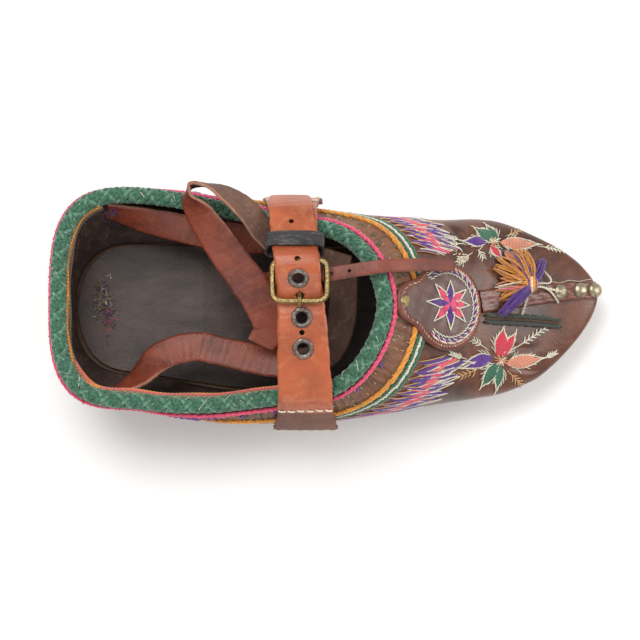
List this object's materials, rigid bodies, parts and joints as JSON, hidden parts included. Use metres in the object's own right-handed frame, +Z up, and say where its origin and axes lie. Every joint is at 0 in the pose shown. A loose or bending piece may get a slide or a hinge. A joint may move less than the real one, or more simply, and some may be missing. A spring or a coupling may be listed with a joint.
{
  "type": "leather shoe",
  "caption": "Flat embroidered leather shoe with an open collar, pointed toe, toe tassel and studs, and a buckled instep strap.",
  "frame": {"origin": "middle of the heel's flat face on the floor", "axes": "+X towards the toe, +Y towards the inner side, +Z up"},
  "size_m": [0.2484, 0.1073, 0.081],
  "materials": {
    "vamp_leather": "polished",
    "medallion_leather": "polished",
    "sole_leather": "worn",
    "insole_leather": "worn",
    "strap_leather": "satin",
    "ankle_leather": "satin",
    "keeper_leather": "worn",
    "seam_leather": "worn",
    "green_yarn": "braided",
    "tassel_yarn": "fibrous",
    "old_brass": "tarnished",
    "buckle_metal": "tarnished",
    "eyelet_metal": "tarnished"
  },
  "bodies": {
    "root": {"outsole": "sole_leather", "heel": "sole_leather", "insole": "insole_leather", "upper": "vamp_leather", "collar_cord": "green_yarn", "medallion": "medallion_leather", "medallion_rivet": "old_brass", "toe_strip": "medallion_leather", "toe_stud_1": "old_brass", "toe_stud_2": "old_brass", "toe_stud_3": "old_brass", "toe_seam_upper": "seam_leather", "toe_seam_lower": "seam_leather", "tassel": "tassel_yarn", "strap_billet": "strap_leather", "strap_inner": "strap_leather", "eyelet_1": "eyelet_metal", "eyelet_2": "eyelet_metal", "eyelet_3": "eyelet_metal", "buckle_frame": "buckle_metal", "buckle_prong": "buckle_metal", "keeper": "keeper_leather", "ankle_strap_inner": "ankle_leather", "ankle_strap_outer": "ankle_leather", "ankle_strap_loop": "ankle_leather", "ankle_strap_tip": "ankle_leather"}
  },
  "joints": []
}
